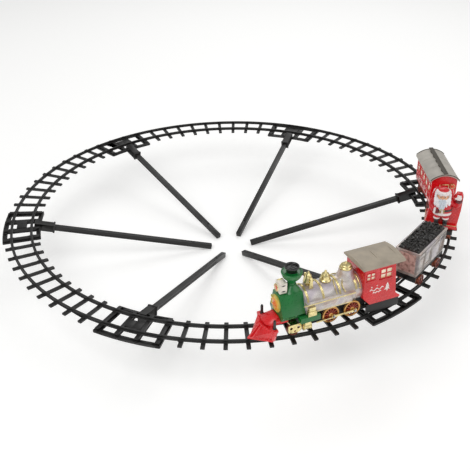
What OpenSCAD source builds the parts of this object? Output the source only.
/* [Ring of track] */
// Radius of the middle of the outer rail
outer_rail_r = 370; // [369.8:0.1:370.2]
// Distance between the middles of the two rails
gauge = 32; // [31.9:0.1:32.1]
// Height of the rail tops above the trunk grip
rail_z = 81; // [80.9:0.1:81.1]
// Number of equal curved track pieces
track_pieces = 6; // [6]
// Sleepers on each track piece
sleepers_per_piece = 13; // [13]
// Direction of the first joint bracket, in degrees
first_joint = 7.8; // [7.7:0.1:7.9]

/* [Support arms] */
// Width and height of a square arm
arm_w = 8; // [7.6:0.1:8.2]
// Distance from the middle to an arm's inner end
arm_tip_r = 35.5; // [34:0.5:38]
// Slope of the arms, down towards the middle, in degrees
arm_slope = 13.8; // [13.7:0.1:13.9]
// Radius of the tie hole near an arm's inner end
tie_hole_r = 1.6; // [1:0.1:2]

/* [Locomotive] */
// Direction of the locomotive's middle on the ring, in degrees
loco_at = -67; // [-67.5:0.1:-66.5]
// Distance of the locomotive's centre line from the ring's middle
loco_r = 347.3; // [347.2:0.1:347.4]
// Rolling radius of the driven wheels under the cab
drive_wheel_r = 10; // [10]
// Radius of the big spoked wheels
driver_r = 12.6; // [12.2:0.1:12.6]
// Radius of the boiler
boiler_r = 20; // [19.8:0.1:20]
// Height of the boiler's centre line above the rails
boiler_z = 42; // [42]
// Length of the crank on a spoked wheel
crank = 4; // [3.5:0.1:4]

/* [Wagons] */
// Rolling radius of the small wheels
small_wheel_r = 8; // [8]
// Direction of the coal wagon's middle on the ring, in degrees
coal_at = -38; // [-38.3:0.1:-37.7]
// Direction of the figure wagon's middle on the ring, in degrees
figure_at = -17.2; // [-17.5:0.1:-16.9]
// Direction of the coach's middle on the ring, in degrees
coach_at = 0.6; // [0.3:0.1:0.9]
// Distance of the wagons' centre lines from the ring's middle
wagon_r = 352.9; // [352.8:0.1:353]

/* [Hidden] */
$fn = 48;

// Colours
black = "#1c1b1a";
red = "#dc1420";
green = "#0f8a3c";
pearl = "#cfc8c4";
gold = "#d9c88a";
steel = "#9a9a9c";
roof_grey = "#b9b0a0";
wheel_red = "#a03a2a";

// Track
inner_rail_r = outer_rail_r - gauge;
mid_r = outer_rail_r - gauge / 2;
piece_angle = 360 / track_pieces;
sleeper_pitch = piece_angle / sleepers_per_piece;
ride_gap = 0.2;
rail_h = 5;
sleeper_in = 326;
sleeper_out = 382;
sleeper_w = 6;
sleeper_h = 3;
sleeper_z = -rail_h - sleeper_h;

// Wheels and axles, measured across a vehicle
tread_in = 13.6;
tread_out = 18.4;
flange_h = 0.9;
flange_t = 1.2;
axle_r = 1.5;
bore_r = 1.56;
thin_axle_r = 1.2;
thin_bore_r = 1.26;
frame_in = 10.6;
frame_out = 12;

// Gears: metric teeth with a steep, stubby form that suits small pinions
gear_m = 0.8;
gear_pa = 25;
tooth_top = 0.8;
tooth_root = 1.15;
tooth_play = 0.12;
axle_teeth = 22;
idler_teeth = 32;
driver_teeth = 30;
pinion_teeth = 10;
wheel_teeth = 36;

// Axle places along the locomotive and above the rails
drive_axle = [-68, drive_wheel_r + ride_gap];
rear_driver = [-22, 16.2];
front_driver = [11, 16.2];
pilot_axle = [66.5, small_wheel_r + ride_gap];

function pitch_r(teeth) = gear_m * teeth / 2;
// Where two circles meet, above the line from a to b
function meet(a, ra, b, rb) =
    let (d = norm(b - a), u = (b - a) / d, along = (ra * ra - rb * rb + d * d) / (2 * d))
    a + along * u + sqrt(max(0, ra * ra - along * along)) * [-u[1], u[0]];
function heading(a, b) = atan2(b[1] - a[1], b[0] - a[0]);

idler_at = meet(drive_axle, pitch_r(axle_teeth + idler_teeth), rear_driver,
    pitch_r(driver_teeth + idler_teeth));
reduction_dir = 60;
reduction_at = idler_at + pitch_r(idler_teeth + pinion_teeth) * [cos(reduction_dir), sin(reduction_dir)];
motor_dir = 25;
motor_at = reduction_at + pitch_r(wheel_teeth + pinion_teeth) * [cos(motor_dir), sin(motor_dir)];

// Each gear is turned so that its teeth mesh with the one before it
function next_phase(dir, teeth_a, phase_a, teeth_b) =
    let (offset = (dir - phase_a) * teeth_a / 360)
    dir + 180 + (offset + 0.5) * 360 / teeth_b;
idler_phase = next_phase(heading(drive_axle, idler_at), axle_teeth, 0, idler_teeth);
driver_phase = next_phase(heading(idler_at, rear_driver), idler_teeth, idler_phase, driver_teeth);
small_phase = next_phase(reduction_dir, idler_teeth, idler_phase, pinion_teeth);
pinion_phase = next_phase(motor_dir, wheel_teeth, small_phase, pinion_teeth);

// ---------- helpers ----------

// Puts a vehicle's parts on the ring: x forwards, y outwards, z up from the rail tops
module on_ring(dir, r) {
    translate([0, 0, rail_z]) rotate([0, 0, dir - 90]) translate([0, r, 0]) children();
}

module loco() {
    on_ring(loco_at, loco_r) children();
}

// An upright profile in x and z, running across the vehicle from y0 to y1
module across(y0, y1) {
    translate([0, y1, 0]) rotate([90, 0, 0]) linear_extrude(y1 - y0) children();
}

// A profile in y and z, running along the vehicle from x0 to x1
module along(x0, x1) {
    translate([x0, 0, 0]) rotate([90, 0, 90]) linear_extrude(x1 - x0) children();
}

module rod_across(at, y0, y1, r) {
    translate([at[0], y1, at[1]]) rotate([90, 0, 0]) cylinder(h = y1 - y0, r = r);
}

module block(x0, x1, y0, y1, z0, z1) {
    translate([x0, y0, z0]) cube([x1 - x0, y1 - y0, z1 - z0]);
}

// The same shape on both sides of the centre line
module both_sides() {
    children();
    mirror([0, 1, 0]) children();
}

function involute(base, t) = base * [cos(t) + t * PI / 180 * sin(t), sin(t) - t * PI / 180 * cos(t)];
function roll_at(base, r) = sqrt(max(0, r * r / (base * base) - 1)) * 180 / PI;
function turned(p, a) = [p[0] * cos(a) - p[1] * sin(a), p[0] * sin(a) + p[1] * cos(a)];

// Outline of a spur gear with one tooth centred on angle 0
module gear_2d(teeth) {
    r = pitch_r(teeth);
    base = r * cos(gear_pa);
    tip = r + tooth_top * gear_m;
    root = r - tooth_root * gear_m;
    t_pitch = roll_at(base, r);
    p = involute(base, t_pitch);
    half = 90 / teeth - tooth_play / 2 / r * 180 / PI + atan2(p[1], p[0]);
    t_start = roll_at(base, max(base, root));
    t_tip = roll_at(base, tip);
    steps = 4;
    flank = [for (i = [0:steps]) turned(involute(base, t_start + (t_tip - t_start) * i / steps), -half)];
    foot = root < base ? [root * [cos(half), -sin(half)]] : [];
    right = concat(foot, flank);
    left = [for (i = [len(right) - 1:-1:0]) [right[i][0], -right[i][1]]];
    tooth = concat(right, left);
    polygon([for (k = [0:teeth - 1]) each [for (q = tooth) turned(q, k * 360 / teeth)]]);
}

module gear(at, y0, y1, teeth, phase) {
    translate([at[0], 0, at[1]]) across(y0, y1) rotate(phase) gear_2d(teeth);
}

// ---------- ring ----------

module rail(r, half_gap) {
    rotate([0, 0, half_gap]) rotate_extrude(angle = piece_angle - 2 * half_gap, $fn = 360)
        polygon([
            [r - 2.2, -rail_h], [r + 2.2, -rail_h], [r + 2.2, -4.2], [r + 0.8, -3.6],
            [r + 0.8, -2], [r + 1.2, -1.6], [r + 1.2, 0], [r - 1.2, 0],
            [r - 1.2, -1.6], [r - 0.8, -2], [r - 0.8, -3.6], [r - 2.2, -4.2]
        ]);
}

module track(k) {
    end_gap = 0.02;
    plate_in = mid_r - 8;
    plate_out = mid_r + 8;
    plate_len = 12;
    tongue = 6;
    color(black) translate([0, 0, rail_z]) rotate([0, 0, first_joint + k * piece_angle]) {
        rail(outer_rail_r, end_gap);
        rail(inner_rail_r, end_gap);
        for (i = [0:sleepers_per_piece - 1]) rotate([0, 0, (i + 0.5) * sleeper_pitch]) {
            block(sleeper_in, sleeper_out, -sleeper_w / 2, sleeper_w / 2, sleeper_z, -rail_h);
            for (r = [inner_rail_r, outer_rail_r])
                block(r - 4.5, r + 4.5, -sleeper_w / 2 + 0.8, sleeper_w / 2 - 0.8, -rail_h, -rail_h + 1);
        }
        // Click joint: a slotted plate at one end, a tongue on a plate at the other
        difference() {
            block(plate_in, plate_out, 0.15, plate_len, -8, -4);
            block(mid_r - tongue / 2 - 0.15, mid_r + tongue / 2 + 0.15, 0, 8.5, -7.3, -4.9);
        }
        rotate([0, 0, piece_angle]) {
            block(plate_in, plate_out, -plate_len, -0.15, -8, -4);
            block(mid_r - tongue / 2, mid_r + tongue / 2, -1, 8, -7.1, -5.1);
        }
    }
}

// The line of an arm: x runs outwards along it, from its inner end
module arm_line(k) {
    rotate([0, 0, first_joint + k * piece_angle]) translate([arm_tip_r, 0, 0])
        rotate([0, -arm_slope, 0]) children();
}

arm_len = 296;
socket_start = 273.4;
socket_end = 307.6;
socket_w = 12.6;

module bracket(k) {
    half_angle = 7.5;
    low = -11.5;
    seat = sleeper_z - 0.1;
    union() {
        translate([0, 0, rail_z]) rotate([0, 0, first_joint + k * piece_angle]) {
            rotate([0, 0, -half_angle]) rotate_extrude(angle = 2 * half_angle, $fn = 360) {
                translate([382.3, low]) square([2.7, 3.2]);
                translate([378.5, low]) square([6.5, 1.6]);
                translate([377.5, low]) square([1.5, seat - low]);
                translate([323.6, low]) square([1.8, 5.5]);
                translate([323.6, low]) square([6.5, 1.6]);
                translate([329, low]) square([1.5, seat - low]);
            }
            for (i = [-1.5:1:1.5]) rotate([0, 0, i * sleeper_pitch]) {
                wide = abs(i) > 1 ? 5 : 3;
                block(324.4, 384.4, -wide, wide, low + 0.3, low + 2);
                block(324.6, 384, -wide, -wide + 1.4, low + 0.6, seat);
                block(324.6, 384, wide - 1.4, wide, low + 0.6, seat);
                block(382.8, 384.6, -2, 2, low + 0.6, -7);
            }
            for (s = [-1, 1]) rotate([0, 0, s * (half_angle - 0.35)])
                block(324, 384.7, -1, 1, low + 0.5, seat);
            // Web that carries the socket
            block(322.6, 329.8, -11, 11, low + 0.4, -8.4);
        }
        arm_line(k) {
            block(socket_start, socket_end, -socket_w / 2, socket_w / 2, -socket_w / 2, socket_w / 2);
            block(socket_start, socket_start + 3, -socket_w / 2 - 0.8, socket_w / 2 + 0.8,
                -socket_w / 2 - 0.8, socket_w / 2 + 0.8);
        }
    }
}

module brackets() {
    channel = arm_w / 2 + 0.15;
    for (k = [0:track_pieces - 1]) color(black) difference() {
        bracket(k);
        arm_line(k) block(socket_start - 1, socket_end - 2, -channel, channel, -channel, channel);
    }
}

module arm(k) {
    color(black) arm_line(k) difference() {
        block(0, arm_len, -arm_w / 2, arm_w / 2, -arm_w / 2, arm_w / 2);
        translate([34, 0, -arm_w]) cylinder(h = 2 * arm_w, r = tie_hole_r);
        // Shallow panel lines along both sides
        for (s = [-1, 1]) block(46, 262, s * arm_w / 2 - 0.5, s * arm_w / 2 + 0.5, -1.6, 1.6);
    }
}

// ---------- wheels ----------

// Tread and flange of the wheel on the outward side
module plain_wheel(at, r) {
    rod_across(at, tread_in - 0.01, tread_out, r);
    rod_across(at, tread_in - flange_t, tread_in, r + flange_h);
}

// A moulded pair of wheels on its axle, with a dished face and six holes
module wheelset(at, r) {
    difference() {
        union() {
            both_sides() plain_wheel(at, r);
            rod_across(at, -tread_out - 0.6, tread_out + 0.6, axle_r);
        }
        both_sides() {
            difference() {
                rod_across(at, tread_out - 1.2, tread_out + 0.1, r - 1.2);
                rod_across(at, tread_out - 1.3, tread_out + 0.2, 2.8);
            }
            for (a = [0:60:300])
                rod_across(at + (r - 3.3) * [cos(a), sin(a)], tread_in - 2, tread_out, 1.2);
        }
    }
}

// ---------- locomotive: frame and drive ----------

module loco_chassis() {
    color(black) loco() difference() {
        union() {
            both_sides() across(frame_in, frame_out) polygon([
                [-92, 5], [50, 5], [50, 21.6], [-32, 21.6], [-33.5, 31.5], [-43, 31.5],
                [-44, 21.6], [-92, 21.6]
            ]);
            block(-92, 50, -frame_out, frame_out, 19.8, 21.6);
            block(-4, 50, -frame_out, frame_out, 5, 7);
            block(-92, -90, -frame_out, frame_out, 5, 21.6);
            // Floor of the cab and the black box below it
            block(-92, -48, -20.6, 20.6, 19.8, 21.6);
            both_sides() block(-94, -42, 20.2, 22.4, 4.2, 18);
            both_sides() block(-94, -91.5, 11.3, 22.4, 4.2, 18);
            both_sides() block(-92, -50, 19.4, 20.4, 16, 20);
            // Battery tray, open towards the door
            both_sides() block(-79.6, -61, 15.9, 17.4, 21.5, 74.6);
            block(-62.4, -61, -17.4, 17.4, 21.5, 74.6);
            block(-79.6, -61, -17.4, 17.4, 73.2, 74.6);
            // Ribs that hold the motor
            block(-31, -14, -13, -10.5, 21.5, motor_at[1] - 7.55);
            block(-31, -14, -1, 2, 21.5, motor_at[1] - 7.55);
            // Front beam over the pilot bogie, with its pivot pin
            block(49, 92.6, -9, 9, 19.2, 21.9);
            block(49, 52, -12, 12, 5, 21.9);
            translate([pilot_axle[0], 0, 17]) cylinder(h = 3, r = 2.5);
            // Coupling pin at the back
            block(-100, -90, -4, 4, 9, 11);
            translate([-98, 0, 9]) cylinder(h = 7, r = 1.8);
        }
        for (at = [drive_axle, rear_driver, front_driver]) rod_across(at, -20, 20, bore_r);
        for (at = [idler_at, reduction_at]) rod_across(at, -20, 20, thin_bore_r);
        // Room for the gears and the motor
        block(-62, -8, 4.4, frame_in - 0.05, 15, 30);
        block(-32, -13, -9, -2, 19, 30);
        rod_across(drive_axle, -18.9, -12.4, drive_wheel_r + 1.2);
        rod_across(drive_axle, 12.4, 18.9, drive_wheel_r + 1.2);
        // Screw holes for the boiler and cab
        for (x = [-86, 40]) translate([x, 0, 15]) cylinder(h = 10, r = 1.4);
    }
}

motor_r = 10;
shaft_r = 1;

module motor() {
    color(steel) loco() difference() {
        union() {
            intersection() {
                rod_across(motor_at, -14, 4.4, motor_r);
                block(motor_at[0] - 12, motor_at[0] + 12, -15, 5, motor_at[1] - 7.5, motor_at[1] + 7.5);
            }
            rod_across(motor_at, 4.3, 5.6, 3);
            rod_across(motor_at, -15.2, -13.9, 2.4);
        }
        rod_across(motor_at, -2, 6, shaft_r + 0.06);
    }
}

module motor_pinion() {
    color(gold) loco() {
        rod_across(motor_at, -1.5, 10.3, shaft_r);
        gear(motor_at, 8.3, 10.2, pinion_teeth, pinion_phase);
    }
}

module reduction_gear() {
    color("white") loco() {
        rod_across(reduction_at, -frame_out, frame_out, thin_axle_r);
        gear(reduction_at, 5, 8.5, pinion_teeth, small_phase);
        gear(reduction_at, 8.4, 9.9, wheel_teeth, small_phase);
        rod_across(reduction_at, 4, 5.1, 3);
    }
}

module idler_gear() {
    color("white") loco() {
        rod_across(idler_at, -frame_out, frame_out, thin_axle_r);
        gear(idler_at, 5.2, 7.4, idler_teeth, idler_phase);
        rod_across(idler_at, 4.4, 5.3, 3.4);
    }
}

module drive_wheelset() {
    groove = 1.2;
    color(black) loco() {
        difference() {
            union() {
                both_sides() plain_wheel(drive_axle, drive_wheel_r);
                rod_across(drive_axle, -tread_out - 0.4, tread_out + 0.4, axle_r);
            }
            both_sides() difference() {
                rod_across(drive_axle, tread_in + 0.8, tread_out - 0.8, drive_wheel_r + 1);
                rod_across(drive_axle, tread_in, tread_out, drive_wheel_r - groove);
            }
        }
        gear(drive_axle, 5.2, 7.4, axle_teeth, 0);
    }
}

module drive_tyres() {
    color("#2b2a28") loco() both_sides() difference() {
        rod_across(drive_axle, tread_in + 0.85, tread_out - 0.85, drive_wheel_r);
        rod_across(drive_axle, tread_in, tread_out, drive_wheel_r - 1.15);
    }
}

driver_in = 15.2;
driver_out = 18.4;
crank_dir = 215;

// Two spoked wheels on an axle; the inner side's crank stands a quarter turn on
module drivers(at) {
    difference() {
        both_sides() rod_across(at, driver_in, driver_out, driver_r);
        both_sides() difference() {
            rod_across(at, driver_in - 0.1, driver_out + 0.1, driver_r - 2.2);
            rod_across(at, driver_in - 0.2, driver_out + 0.2, 3.4);
            for (a = [0:30:330]) translate([at[0], 0, at[1]]) rotate([0, a, 0])
                block(2, driver_r, driver_in - 0.2, driver_out - 0.6, -0.6, 0.6);
        }
    }
    rod_across(at, -driver_out, driver_out, axle_r);
    both_sides() rod_across(at, frame_out + 0.3, driver_in + 0.1, 3);
    for (side = [-1, 1]) {
        pin = at + crank * [cos(crank_angle(side)), sin(crank_angle(side))];
        both_ends = side > 0 ? [driver_in, driver_out, driver_out + 3.4]
            : [-driver_in, -driver_out, -driver_out - 3.4];
        rod_across(pin, min(both_ends[0], both_ends[1]), max(both_ends[0], both_ends[1]), 2.6);
        rod_across(pin, min(both_ends[1], both_ends[2]) - 0.01, max(both_ends[1], both_ends[2]), 1.1);
    }
}

function crank_angle(side) = side > 0 ? crank_dir : crank_dir + 90;

module rear_drivers() {
    color(wheel_red) loco() {
        drivers(rear_driver);
        gear(rear_driver, 5.2, 7.4, driver_teeth, driver_phase);
    }
}

module front_drivers() {
    color(wheel_red) loco() drivers(front_driver);
}

rod_in = 18.8;
rod_out = 21;
rod_front = 26;

// A side rod joins the two crank pins and runs on into the slotted cylinder
module side_rod(side) {
    a = rear_driver + crank * [cos(crank_angle(side)), sin(crank_angle(side))];
    b = front_driver + crank * [cos(crank_angle(side)), sin(crank_angle(side))];
    y0 = side > 0 ? rod_in : -rod_out;
    y1 = side > 0 ? rod_out : -rod_in;
    color(gold) loco() difference() {
        union() {
            rod_across(a, y0, y1, 2.9);
            rod_across(b, y0, y1, 2.9);
            block(a[0], b[0], y0, y1, a[1] - 1.5, a[1] + 1.5);
            block(b[0], b[0] + rod_front, y0 + 0.3, y1 - 0.3, b[1] - 2.8, b[1] - 1);
        }
        rod_across(a, y0 - 1, y1 + 1, 1.16);
        rod_across(b, y0 - 1, y1 + 1, 1.3);
    }
}

module outer_side_rod() {
    side_rod(1);
}

module inner_side_rod() {
    side_rod(-1);
}

module pilot_bogie() {
    x = pilot_axle[0];
    color(gold) loco() difference() {
        union() {
            both_sides() across(19, 20.8) polygon([
                [x - 9.5, 8], [x - 7, 5.8], [x + 7, 5.8], [x + 9.5, 8], [x + 9.5, 17.6],
                [x + 7, 19], [x - 7, 19], [x - 9.5, 17.6]
            ]);
            block(x - 6, x + 6, -20.8, 20.8, 17.2, 18.9);
        }
        rod_across(pilot_axle, -22, 22, bore_r);
        both_sides() for (dx = [-5.4, 5.4]) rod_across([x + dx, 13.4], 18, 22, 2);
        translate([x, 0, 15]) cylinder(h = 6, r = 2.56);
    }
}

module pilot_wheelset() {
    color(wheel_red) loco() {
        wheelset(pilot_axle, small_wheel_r);
        rod_across(pilot_axle, -20.6, 20.6, axle_r);
    }
}

// Bars from a wide V at rail height up to a narrow top
module cowcatcher() {
    prow = [125, 0, 1.6];
    corner = [99, 20, 1.6];
    top_prow = [109, 0, 19.4];
    top_corner = [100, 24.4, 19.4];
    bars = 6;
    color(red) loco() {
        both_sides() {
            hull() {
                translate(prow) sphere(r = 1.5, $fn = 12);
                translate(corner) sphere(r = 1.5, $fn = 12);
            }
            for (i = [0:bars]) hull() {
                translate(prow + (corner - prow) * i / bars) sphere(r = 1.3, $fn = 8);
                translate(top_prow + (top_corner - top_prow) * i / bars) sphere(r = 1.1, $fn = 8);
            }
            // Skin behind the bars
            hull() for (q = [prow, corner, top_prow, top_corner])
                translate(q - [2.4, 0, 0]) sphere(r = 0.8, $fn = 8);
            // Wing behind the outer end
            hull() {
                translate(corner - [3, 0, 0]) sphere(r = 0.9, $fn = 8);
                translate(corner) sphere(r = 0.9, $fn = 8);
                translate([93.9, 24.1, 19.4]) sphere(r = 0.9, $fn = 8);
                translate([100, 24.1, 19.4]) sphere(r = 0.9, $fn = 8);
                translate([99.6, 23.6, 8.6]) sphere(r = 0.9, $fn = 8);
            }
            // Marker post on the shoulder
            translate([96, 19.3, 19]) cylinder(h = 13, r = 1.7, $fn = 24);
            translate([96, 19.3, 31.9]) cylinder(h = 2.3, r1 = 1.7, r2 = 0.8, $fn = 24);
        }
        // Shoulder beam, closed to the bars in front
        block(93, 101, -25, 25, 17.6, 20.5);
        hull() {
            block(100, 101, -24, 24, 18, 20.4);
            block(108, 109, -1, 1, 18, 20.4);
        }
        // Ridge from the beam back to the smokebox
        hull() {
            block(84.6, 86, -9, 9, 22.1, 30);
            block(84.6, 98, -15, 15, 22.1, 23);
            block(98, 104, -8, 8, 22.1, 22.6);
        }
        block(93, 99, -14, 14, 20.3, 22.2);
        block(74, 85.6, -15, 15, 22.1, 25.1);
    }
}

// ---------- locomotive: body ----------

module boiler_shell() {
    wall = 1.8;
    color(pearl) loco() difference() {
        union() {
            along(-34.9, 51) translate([0, boiler_z]) circle(boiler_r, $fn = 96);
            for (x = [-27, -2, 23, 46]) along(x, x + 2.4) translate([0, boiler_z]) circle(boiler_r + 0.6, $fn = 96);
            // Flat skirts with the running boards above them
            both_sides() block(-20, 50, 17, 20.8, 30, 46.5);
            both_sides() block(-22, 51, 17, 24.4, 46, 48);
            // Flared foot of the steam dome
            translate([-19, 0, 0]) rotate_extrude() polygon([
                [0, 50], [14, 50], [14, 60], [12.2, 63], [10.4, 67], [9.5, 73], [0, 73]
            ]);
        }
        along(-40, 49) translate([0, boiler_z]) circle(boiler_r - wall, $fn = 96);
        translate([-19, 0, 48]) cylinder(h = 23.4, r = 8);
        // Open below for the drive
        block(-40, 60, -13.2, 13.2, 18, 21.7);
        block(-40, -6, -14.8, 14.8, 18, 30.6);
        both_sides() block(-33, 25, 14.8, 19, 16, 29.4);
        both_sides() rod_across([-9, 34], 20.1, 21, 2.2);
    }
}

module smokebox_outline(inset) {
    polygon([
        [-16 + inset, 28 + inset], [16 - inset, 28 + inset], [19.8 - inset, 32.6], [15.2 - inset, 44],
        [10.4 - inset, 61.4 - inset], [-10.4 + inset, 61.4 - inset], [-15.2 + inset, 44], [-19.8 + inset, 32.6]
    ]);
}

module smokebox() {
    color(green) loco() {
        difference() {
            along(51.2, 84.2) smokebox_outline(0);
            along(50, 82.2) smokebox_outline(1.8);
            rod_along(46, 80, 90, 4);
        }
        // Hipped foot under the chimney
        hull() {
            block(53, 71.8, -10, 10, 61, 61.4);
            translate([chimney_x, 0, 70]) cylinder(h = 1, r = 5.6);
        }
        // Shelf over the cylinders, and the saddle on the front beam
        both_sides() block(31, 60, 16.4, 25.4, 20.5, 28.5);
        both_sides() block(51.4, 60, 14, 25.4, 25.4, 28.5);
        block(51.4, 84.2, -15.6, 15.6, 25.4, 28.2);
        block(54, 73, -8, 8, 22, 25.5);
    }
}

// A round bar along the vehicle at height z
module rod_along(z, x0, x1, r) {
    along(x0, x1) translate([0, z]) circle(r);
}

module smokebox_door() {
    color("#e8b23a") loco() {
        rod_along(46, 84.3, 85.8, 12.6);
        rod_along(46, 85.7, 87, 10);
        rod_along(46, 81, 84.4, 3.9);
        rod_along(46, 86.9, 88.6, 2.4);
    }
}

chimney_x = 62.8;

module chimney() {
    color(green) loco() translate([chimney_x, 0, 0]) difference() {
        rotate_extrude() polygon([
            [0, 71.1], [5.2, 71.1], [5, 73], [6, 75.4], [9, 79.4], [12.4, 83.6], [14.2, 87.6], [14.2, 90.6], [0, 90.6]
        ]);
        translate([0, 0, 80]) cylinder(h = 15, r = 4.6);
    }
}

module chimney_cap() {
    color(black) loco() translate([chimney_x, 0, 0]) difference() {
        rotate_extrude() polygon([[0, 90.7], [7.4, 90.7], [8, 94], [9.8, 96.6], [9.8, 98.6], [0, 98.6]]);
        translate([0, 0, 94]) cylinder(h = 10, r = 6.6);
    }
}

module headlight() {
    color("#e9dcc8") loco() difference() {
        union() {
            block(73.4, 82, -5, 5, 61.5, 63.4);
            block(72.4, 82.8, -6.6, 6.6, 63.3, 78.4);
            along(76, 83.2) polygon([[-7.4, 78.4], [7.4, 78.4], [0, 82.6]]);
            rod_along(71, 82.7, 85, 5.4);
        }
        rod_along(71, 79, 90, 4.4);
    }
}

// Brass fittings along the boiler's top stand on small feet
module fitting(x, profile) {
    color(gold) loco() translate([x, 0, 0]) rotate_extrude() polygon(profile);
}

module bell() {
    fitting(38, [[0, 62.2], [4, 62.2], [4, 64], [1.8, 65], [1.8, 68], [7, 68.4], [6.4, 70], [4.6, 74], [3.6, 78],
        [1.4, 80], [1.4, 82], [0, 82]]);
    color(gold) loco() both_sides() across(7.6, 9) polygon([[35, 60.6], [41, 60.6], [39.4, 76], [36.6, 76]]);
    color(gold) loco() rod_across([38, 74.6], -9, 9, 1);
}

module sand_dome() {
    fitting(12, [[0, 62.2], [8, 62.2], [8, 63.4], [6.4, 65], [6, 70], [4.6, 72.6], [2, 74], [1.6, 76], [0, 76]]);
}

module steam_dome() {
    fitting(-19, [[0, 73.1], [8.8, 73.1], [8.8, 75], [7, 76.2], [7.2, 78], [5, 79.6], [2, 80], [2, 81.4], [0, 81.4]]);
}

module cylinders() {
    color(gold) loco() {
        both_sides() difference() {
            union() {
                translate([0, 20.4, 0]) rod_along(12.8, 44.6, 54.4, 5.6);
                translate([0, 20.4, 0]) rod_along(12.8, 43.8, 45.4, 6.1);
                translate([0, 20.4, 0]) rod_along(12.8, 53.6, 55.2, 6.1);
                block(45.4, 53.6, 16.4, 25.2, 14, 20.4);
            }
            block(40, 52, rod_in - 0.5, rod_out + 0.5, 5, 19.6);
        }
        both_sides() block(37, 49.6, 21, 25.4, 28.6, 36);
        both_sides() block(38.4, 48.2, 21, 24.6, 35.9, 42);
    }
}

// ---------- locomotive: cab ----------

cab_half = 23;
cab_wall = 2;

module cab_profile(inset) {
    polygon([
        [-35 - inset, 77], [-35 - inset, 31 + inset / 2], [-46.5 - inset / 2, 18.3], [-95 + inset, 18.3],
        [-95 + inset, 20.6], [-83 + inset, 24], [-83 + inset, 77]
    ]);
}

// Side plates that reach back past the rear wall, wider towards the bottom
module cab_wings() {
    both_sides() across(cab_half - cab_wall, cab_half) polygon([
        [-82, 77], [-83.2, 77], [-87.5, 27], [-94, 21], [-82, 21]
    ]);
}

module window_openings(grow, y0, y1) {
    both_sides() {
        block(-51.5 - grow, -38.5 + grow, y0, y1, 59 - grow, 70 + grow);
        block(-78 - grow, -60 + grow, y0, y1, 57 - grow, 72 + grow);
    }
}

module cab_shell() {
    color(red) loco() difference() {
        across(-cab_half, cab_half) cab_profile(0);
        difference() {
            across(-cab_half + cab_wall, cab_half - cab_wall) cab_profile(cab_wall);
            block(-100, -80, -25, 25, 70, 80);
        }
        block(-100, -20, -cab_half + cab_wall, cab_half - cab_wall, 10, 21.6);
        // Opening for the boiler and the drive
        rod_along(boiler_z, -40, -30, 17.5);
        block(-56, -30, -13.4, 13.4, 18, 42);
        window_openings(0, cab_half - 3, cab_half + 1);
        // Doorway to the batteries
        block(-90, -80, -16.4, 16.4, 24.5, 70);
    }
    color(red) loco() cab_wings();
    // Hinge lugs of the door, with their stub pins
    color(red) loco() translate([door_hinge[0], door_hinge[1], 0]) for (z = [30, 58.1]) {
        translate([0, 0, z]) cylinder(h = 3.9, r = 1.2);
        block(-0.8, 1.5, -1, 1, z, z + 3.9);
        translate([0, 0, z > 40 ? z - 2 : z + 3]) cylinder(h = 3, r = 0.7);
    }
}

module cab_windows() {
    color("#f6e3b0") loco() window_openings(-0.1, cab_half - 1.9, cab_half - 0.6);
}

module cab_roof() {
    crown = 92;
    color(roof_grey) loco() difference() {
        intersection() {
            along(-97, -31) translate([0, 83.5 - crown]) circle(crown, $fn = 180);
            block(-97, -31, -26.4, 25.4, 77.1, 84);
        }
        // Panels pressed into the top
        block(-90, -67, -16, 16, 82.7, 85);
        block(-61, -38, -16, 16, 82.7, 85);
    }
}

module battery_cells() {
    color("#3a6ea5") loco() for (y = [-8, 8]) translate([-70.2, y, 0]) {
        translate([0, 0, 21.8]) cylinder(h = 49.4, r = 7.2);
        translate([0, 0, 71]) cylinder(h = 1.3, r = 2.7);
    }
}

door_hinge = [-84.4, 17.6];

module battery_door() {
    color(red) loco() difference() {
        union() {
            block(-83, -81.3, -16.1, 16.1, 24.8, 69.7);
            block(-83.5, -82.9, 11, 15, 34, 58);
            block(-85, -83.4, 11, door_hinge[1], 34, 58);
            translate([door_hinge[0], door_hinge[1], 34]) cylinder(h = 24, r = 1.2);
            // Finger ridge at the free edge
            block(-84, -82.9, -15, -12.8, 42, 52);
        }
        translate([door_hinge[0], door_hinge[1], 33]) cylinder(h = 26, r = 0.76);
        for (z = [29, 33, 61, 65]) block(-84, -82.4, -9, 9, z, z + 1.6);
    }
}

module power_switch() {
    color("#d0d0d0") loco() {
        block(-73, -67, -24.8, -22.5, 9.6, 13.6);
        block(-71.4, -68.6, -26.4, -24.7, 10.2, 13);
    }
}

module screws() {
    color(steel) loco() for (x = [-86, 40]) translate([x, 0, 0]) {
        translate([0, 0, 17.2]) cylinder(h = 2.5, r = 2.6);
        translate([0, 0, 19]) cylinder(h = 2.5, r = 1.3);
    }
}

// ---------- wagons ----------

coal_axle_x = 28;
figure_axle_x = 15;
coach_axle_x = 31;

module wagon_wheels(dir, x) {
    color(wheel_red) on_ring(dir, wagon_r) wheelset([x, small_wheel_r + ride_gap], small_wheel_r);
}

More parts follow.
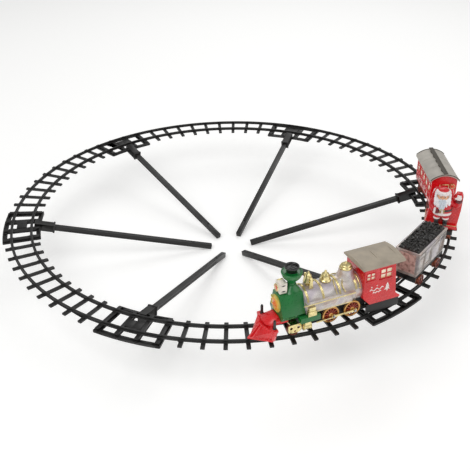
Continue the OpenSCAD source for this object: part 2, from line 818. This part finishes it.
// Underframe between the wheels, with axle boxes, buffer beams and a drawbar in front
module wagon_chassis(dir, half_len, half_w, axle_x, bar_end, bar_turn) {
    z = small_wheel_r + ride_gap;
    color(black) on_ring(dir, wagon_r) difference() {
        union() {
            both_sides() across(frame_in, frame_out) polygon([
                [-half_len, 14], [-axle_x - 6, 12], [-axle_x - 5, 5], [-axle_x + 5, 5], [-axle_x + 7, 12],
                [axle_x - 7, 12], [axle_x - 5, 5], [axle_x + 5, 5], [axle_x + 6, 12],
                [half_len, 14], [half_len, 19.4], [-half_len, 19.4]
            ]);
            block(-half_len, half_len, -half_w, half_w, 17.6, 19.8);
            for (s = [-1, 1]) block(s * (half_len - 1) - 1, s * (half_len - 1) + 1, -half_w, half_w, 13, 19.8);
            // Coupling pin at the back
            block(-half_len - 9, -half_len + 1, -4, 4, 9, 11);
            block(-half_len - 0.9, -half_len + 1, -4, 4, 9, 19);
            translate([-half_len - 7, 0, 9]) cylinder(h = 7, r = 1.8);
            // Drawbar in front, hooked over the pin ahead
            block(half_len - 2, half_len - 0.1, -4, 4, 11.6, 19);
            translate([half_len - 1, 0, 0]) rotate([0, 0, bar_turn]) difference() {
                union() {
                    block(0, bar_end, -1.6, 1.6, 11.6, 13.6);
                    translate([bar_end, 0, 11.6]) cylinder(h = 2, r = 4);
                }
                translate([bar_end, 0, 11]) cylinder(h = 3, r = 2.3);
            }
        }
        for (s = [-1, 1]) rod_across([s * axle_x, z], -13, 13, bore_r);
    }
}

// The drawbar's length and turn, from a wagon's front to the pin of the vehicle ahead
function ring_point(dir, r, x, y) = (r + y) * [cos(dir), sin(dir)] + x * [sin(dir), -cos(dir)];
function bar_vector(dir, half_len, pin) = pin - ring_point(dir, wagon_r, half_len - 1, 0);
function bar_turn(dir, v) = atan2(v[0] * cos(dir) + v[1] * sin(dir), v[0] * sin(dir) - v[1] * cos(dir));

coal_half = 46;
figure_half = 28;
coach_half = 48;
coal_bar = bar_vector(coal_at, coal_half, ring_point(loco_at, loco_r, -98, 0));
figure_bar = bar_vector(figure_at, figure_half, ring_point(coal_at, wagon_r, -coal_half - 7, 0));
coach_bar = bar_vector(coach_at, coach_half, ring_point(figure_at, wagon_r, -figure_half - 7, 0));

module coal_chassis() {
    wagon_chassis(coal_at, coal_half, 16.5, coal_axle_x, norm(coal_bar), bar_turn(coal_at, coal_bar));
}

module coal_tub() {
    wall = 1.6;
    color("#b8b0b0") on_ring(coal_at, wagon_r) difference() {
        union() {
            along(-47, 45.5) polygon([[-16, 20], [16, 20], [18, 60], [-18, 60]]);
            both_sides() block(-47, 45.5, 16.6, 18.8, 57.6, 60);
            both_sides() across(15.5, 18.3) polygon([[-24, 26], [0, 26], [0, 50], [-24, 50]]);
        }
        along(-47 + wall, 45.5 - wall) polygon([[-16 + wall, 21.6], [16 - wall, 21.6], [18 - wall, 61], [-18 + wall, 61]]);
        both_sides() block(20, 21.6, 16.6, 19, 22, 56);
    }
}

module coal_load() {
    color("#25221f") on_ring(coal_at, wagon_r) {
        along(-45.2, 43.6) polygon([[-14.3, 22], [14.3, 22], [16, 58], [11, 62], [-11, 62], [-16, 58]]);
    }
}

module coal_front_wheels() {
    wagon_wheels(coal_at, coal_axle_x);
}

module coal_rear_wheels() {
    wagon_wheels(coal_at, -coal_axle_x);
}

module figure_chassis() {
    wagon_chassis(figure_at, figure_half, 20, figure_axle_x, norm(figure_bar), bar_turn(figure_at, figure_bar));
}

module figure_body() {
    color(red) on_ring(figure_at, wagon_r) difference() {
        union() {
            along(-27, 22) polygon([[-25.4, 20], [26, 20], [26, 23], [24, 27], [-23, 27], [-25.2, 23]]);
            // Low back that falls away behind the upright front
            across(-20, 22) polygon([[-26, 26.9], [15.6, 26.9], [15.6, 60], [6, 60], [-14, 44], [-26, 36]]);
            along(8, 15.6) polygon([
                [-23.6, 26.9], [25.4, 26.9], [28.4, 54], [29, 77], [26.6, 81.6], [19, 81.6], [15.6, 74],
                [12, 85], [-14, 85], [-18, 76], [-19.4, 56]
            ]);
        }
        across(-18, 20) polygon([[-24, 21.6], [5.6, 21.6], [5.6, 57], [-13, 42], [-24, 34.6]]);
    }
}

module gift_figure() {
    color("#e8ddd6") on_ring(figure_at, wagon_r) intersection() {
        union() {
            // Boots, coat, sleeves, beard, head and hat brim, seated against the upright
            both_sides() translate([17, 7, 27.1]) cylinder(h = 11, r = 5.4);
            translate([13, 0, 38]) cylinder(h = 26, r1 = 12.4, r2 = 10, $fn = 64);
            translate([14, -1, 64]) sphere(r = 10.6);
            translate([13.4, -2, 76]) sphere(r = 9.6);
            translate([12, -2, 80]) cylinder(h = 6.6, r = 13, $fn = 64);
            translate([13, 20, 40]) cylinder(h = 30, r = 5);
            translate([13.6, 22, 76]) sphere(r = 5.4);
            translate([13, -15, 40]) cylinder(h = 30, r = 5);
            both_sides() block(13, 18, 8, 17, 46, 56);
        }
        block(15.7, 40, -30, 30, 27.05, 90);
    }
}

module figure_front_wheels() {
    wagon_wheels(figure_at, figure_axle_x);
}

module figure_rear_wheels() {
    wagon_wheels(figure_at, -figure_axle_x);
}

module coach_chassis() {
    wagon_chassis(coach_at, coach_half, 19, coach_axle_x, norm(coach_bar), bar_turn(coach_at, coach_bar));
}

coach_half_w = 21;
coach_top = 60;
roof_arc = 34;

module coach_window_row(grow, y0, y1) {
    both_sides() for (i = [-2:2]) block(i * 18 - 6 - grow, i * 18 + 6 + grow, y0, y1, 39 - grow, 54 + grow);
}

module coach_body() {
    wall = 1.8;
    color(red) on_ring(coach_at, wagon_r) {
        difference() {
            union() {
                block(-49, 49, -coach_half_w, coach_half_w, 20, coach_top);
                for (x = [-49, 46.6]) along(x, x + 2.4) coach_end();
            }
            block(-49 + wall, 49 - wall, -coach_half_w + wall, coach_half_w - wall, 21.8, coach_top + 1);
            coach_window_row(0, coach_half_w - 3, coach_half_w + 1);
        }
        // Lamp on the front end
        translate([0, 13, 0]) rod_along(54, 48.9, 53, 3.4);
    }
}

// Arched end that closes the space below the roof
module coach_end() {
    intersection() {
        translate([0, 74 - roof_arc]) circle(roof_arc - 2.2, $fn = 120);
        translate([-coach_half_w, 50]) square([2 * coach_half_w, 30]);
    }
}

module coach_roof() {
    color("#c9c5be") on_ring(coach_at, wagon_r) {
        difference() {
            intersection() {
                along(-51.5, 51.5) translate([0, 74 - roof_arc]) circle(roof_arc, $fn = 120);
                block(-52, 52, -24.4, 24.4, coach_top + 0.2, 80);
            }
            along(-60, 60) translate([0, 74 - roof_arc]) circle(roof_arc - 2, $fn = 120);
        }
        block(-51.5, 51.5, -3.2, 3.2, 73, 76.4);
    }
}

module coach_windows() {
    color("#f3e6d4") on_ring(coach_at, wagon_r) coach_window_row(-0.1, coach_half_w - 1.7, coach_half_w - 0.5);
}

module coach_front_wheels() {
    wagon_wheels(coach_at, coach_axle_x);
}

module coach_rear_wheels() {
    wagon_wheels(coach_at, -coach_axle_x);
}

track(0);  // track_1
track(1);  // track_2
track(2);  // track_3
track(3);  // track_4
track(4);  // track_5
track(5);  // track_6
brackets();
arm(0);  // arm_1
arm(1);  // arm_2
arm(2);  // arm_3
arm(3);  // arm_4
arm(4);  // arm_5
arm(5);  // arm_6
loco_chassis();
motor();
motor_pinion();
reduction_gear();
idler_gear();
drive_wheelset();
drive_tyres();
rear_drivers();
front_drivers();
outer_side_rod();
inner_side_rod();
pilot_bogie();
pilot_wheelset();
cowcatcher();
boiler_shell();
smokebox();
smokebox_door();
chimney();
chimney_cap();
headlight();
bell();
sand_dome();
steam_dome();
cylinders();
cab_shell();
cab_windows();
cab_roof();
battery_cells();
battery_door();
power_switch();
screws();
coal_chassis();
coal_tub();
coal_load();
coal_front_wheels();
coal_rear_wheels();
figure_chassis();
figure_body();
gift_figure();
figure_front_wheels();
figure_rear_wheels();
coach_chassis();
coach_body();
coach_roof();
coach_windows();
coach_front_wheels();
coach_rear_wheels();
